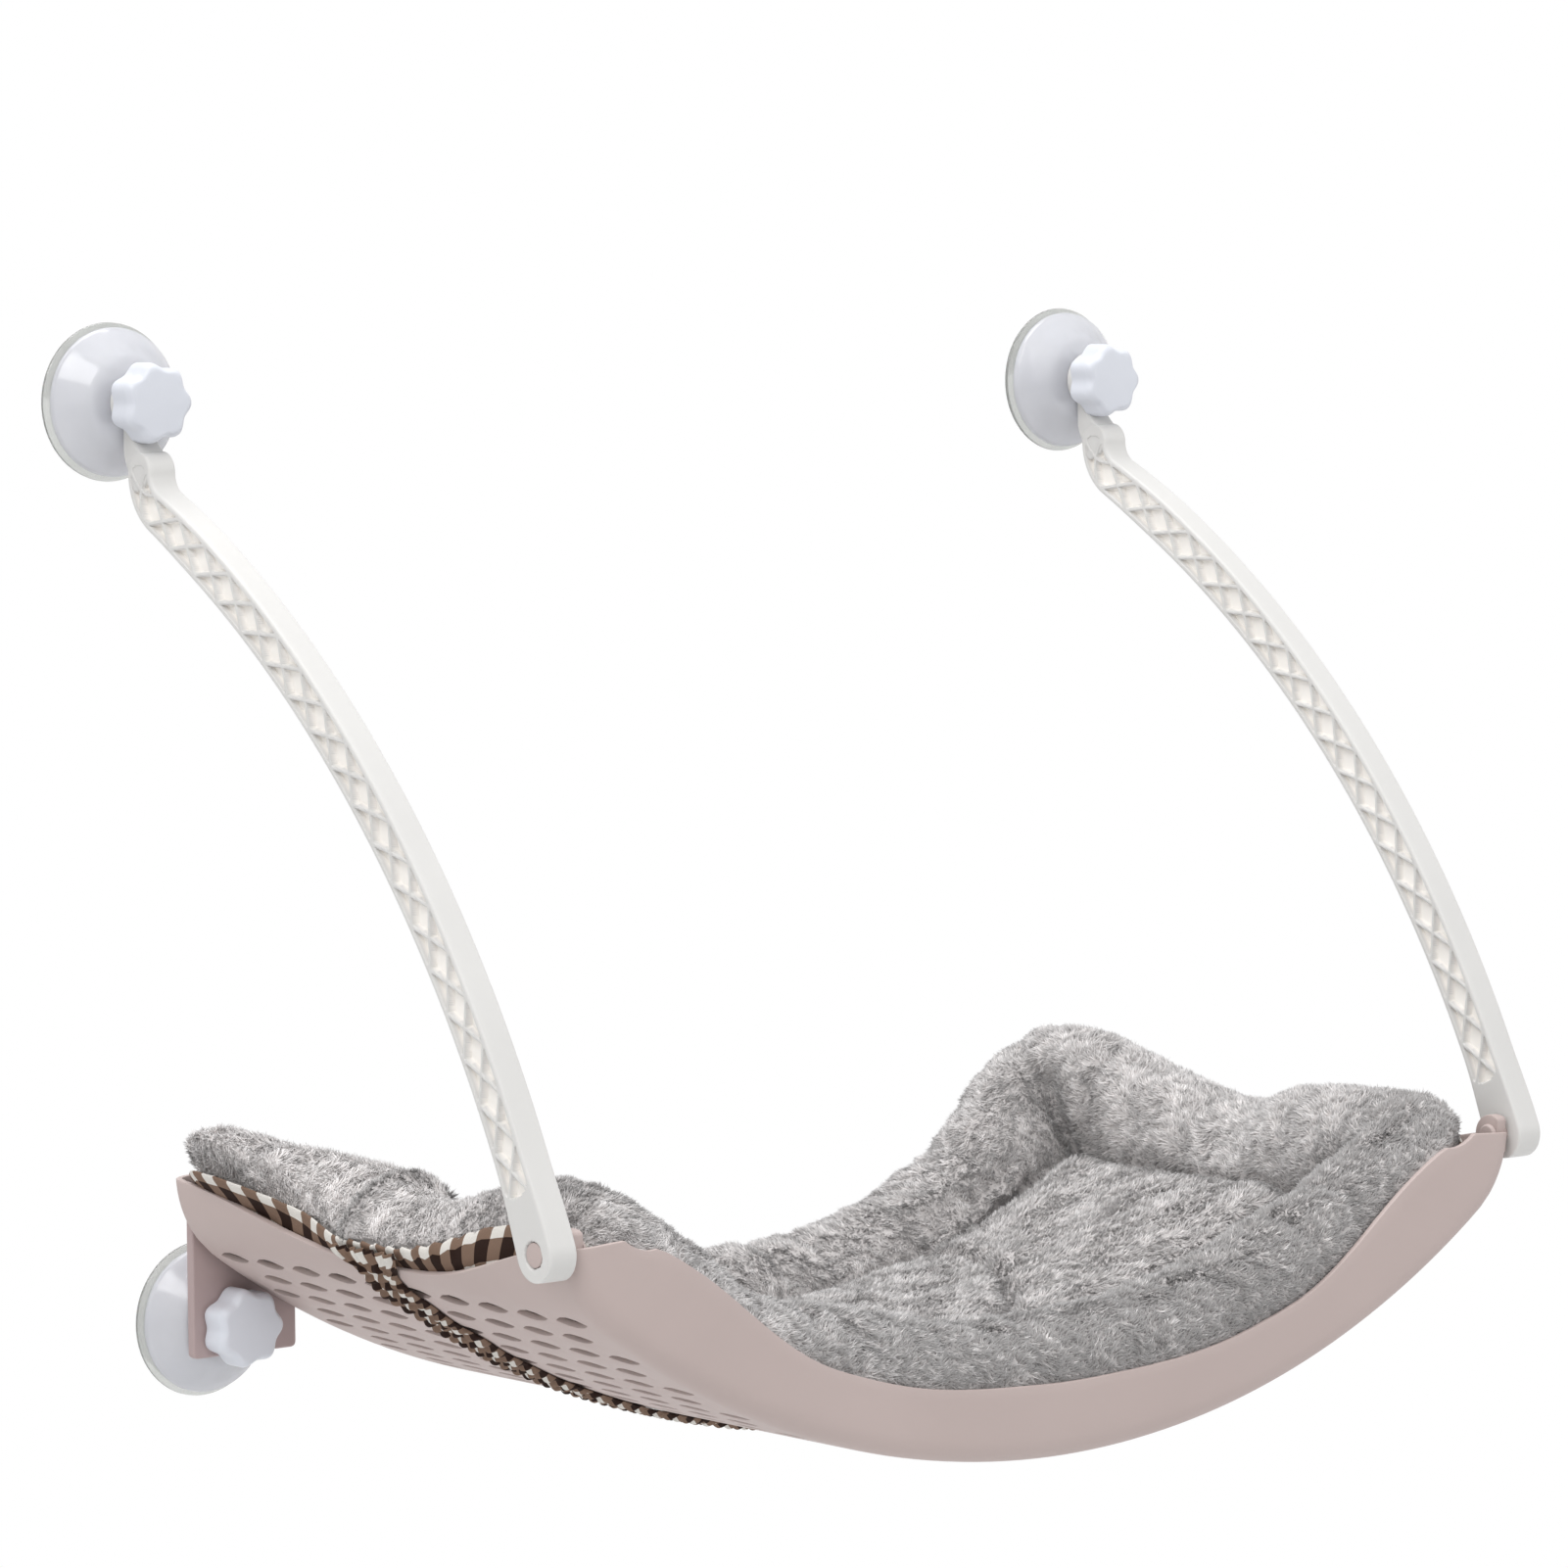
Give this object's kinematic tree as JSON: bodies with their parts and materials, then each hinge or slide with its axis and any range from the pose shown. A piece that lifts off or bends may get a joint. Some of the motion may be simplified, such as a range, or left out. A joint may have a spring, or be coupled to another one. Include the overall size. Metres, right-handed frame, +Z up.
{
  "type": "cat window hammock",
  "caption": "Curved moulded tray with a plush bolstered cushion, held to a window by suction cups on brackets below and on two long pivoting arms above.",
  "frame": {"origin": "on the window pane, midway between the two lower suction cups and at the height of their centres", "axes": "+Y points out through the window pane, the room is on the -Y side, +Z is up, and +X is to the right for a viewer in the room"},
  "size_m": [0.648, 0.333, 0.5115],
  "materials": {
    "tray_plastic": "satin dusty mauve",
    "arm_plastic": "satin warm white",
    "knob_plastic": "satin cool white",
    "cover_plastic": "translucent grey white",
    "clear_rubber": "clear soft vinyl",
    "steel": "zinc plated",
    "plush_fabric": "short warm grey plush",
    "gingham_cloth": "woven brown and white check"
  },
  "bodies": {
    "tray": {"tray": "tray_plastic", "left_wall_bracket": "tray_plastic", "right_wall_bracket": "tray_plastic", "left_bracket_screw_outer": "steel", "left_bracket_screw_inner": "steel", "right_bracket_screw_outer": "steel", "right_bracket_screw_inner": "steel", "left_pivot_pin": "tray_plastic", "right_pivot_pin": "tray_plastic", "lower_left_cup_membrane": "clear_rubber", "lower_left_cup_cover": "cover_plastic", "lower_right_cup_membrane": "clear_rubber", "lower_right_cup_cover": "cover_plastic", "cushion_cloth_base": "gingham_cloth", "cushion_bolster": "plush_fabric", "cushion_pad": "plush_fabric", "elastic_strap": "gingham_cloth"},
    "left_arm": {"left_arm": "arm_plastic", "upper_left_cup_membrane": "clear_rubber", "upper_left_cup_cover": "cover_plastic"},
    "right_arm": {"right_arm": "arm_plastic", "upper_right_cup_membrane": "clear_rubber", "upper_right_cup_cover": "cover_plastic"},
    "upper_left_knob": {"upper_left_cup_knob": "knob_plastic"},
    "upper_left_stud": {"upper_left_cup_stud": "steel"},
    "upper_right_knob": {"upper_right_cup_knob": "knob_plastic"},
    "upper_right_stud": {"upper_right_cup_stud": "steel"},
    "lower_left_knob": {"lower_left_cup_knob": "knob_plastic"},
    "lower_left_stud": {"lower_left_cup_stud": "steel"},
    "lower_right_knob": {"lower_right_cup_knob": "knob_plastic"},
    "lower_right_stud": {"lower_right_cup_stud": "steel"}
  },
  "joints": [
    {"name": "left_arm_pivot", "type": "hinge", "parent": "tray", "child": "left_arm", "pos_m": [-0.288, -0.321, 0.0696], "axis": [1, 0, 0], "range_deg": [0, 220]},
    {"name": "right_arm_pivot", "type": "hinge", "parent": "tray", "child": "right_arm", "pos_m": [0.288, -0.321, 0.0696], "axis": [1, 0, 0], "range_deg": [0, 220]},
    {"name": "upper_left_knob_turn", "type": "hinge", "parent": "left_arm", "child": "upper_left_knob", "pos_m": [-0.288, -0.03, 0.4231], "axis": [0, -1, 0], "range_deg": [0, 360]},
    {"name": "upper_left_stud_travel", "type": "slide", "parent": "left_arm", "child": "upper_left_stud", "axis": [0, 1, 0], "range_m": [0, 0.0021]},
    {"name": "upper_right_knob_turn", "type": "hinge", "parent": "right_arm", "child": "upper_right_knob", "pos_m": [0.288, -0.03, 0.4231], "axis": [0, -1, 0], "range_deg": [0, 360]},
    {"name": "upper_right_stud_travel", "type": "slide", "parent": "right_arm", "child": "upper_right_stud", "axis": [0, 1, 0], "range_m": [0, 0.0021]},
    {"name": "lower_left_knob_turn", "type": "hinge", "parent": "tray", "child": "lower_left_knob", "pos_m": [-0.245, -0.03, 0], "axis": [0, -1, 0], "range_deg": [0, 360]},
    {"name": "lower_left_stud_travel", "type": "slide", "parent": "tray", "child": "lower_left_stud", "axis": [0, 1, 0], "range_m": [0, 0.0021]},
    {"name": "lower_right_knob_turn", "type": "hinge", "parent": "tray", "child": "lower_right_knob", "pos_m": [0.245, -0.03, 0], "axis": [0, -1, 0], "range_deg": [0, 360]},
    {"name": "lower_right_stud_travel", "type": "slide", "parent": "tray", "child": "lower_right_stud", "axis": [0, 1, 0], "range_m": [0, 0.0021]}
  ],
  "couplings": [
    {"joint": "upper_left_stud_travel", "follows": "upper_left_knob_turn", "m_per_rad": 0.00031831},
    {"joint": "upper_right_stud_travel", "follows": "upper_right_knob_turn", "m_per_rad": 0.00031831},
    {"joint": "lower_left_stud_travel", "follows": "lower_left_knob_turn", "m_per_rad": 0.00031831},
    {"joint": "lower_right_stud_travel", "follows": "lower_right_knob_turn", "m_per_rad": 0.00031831}
  ]
}
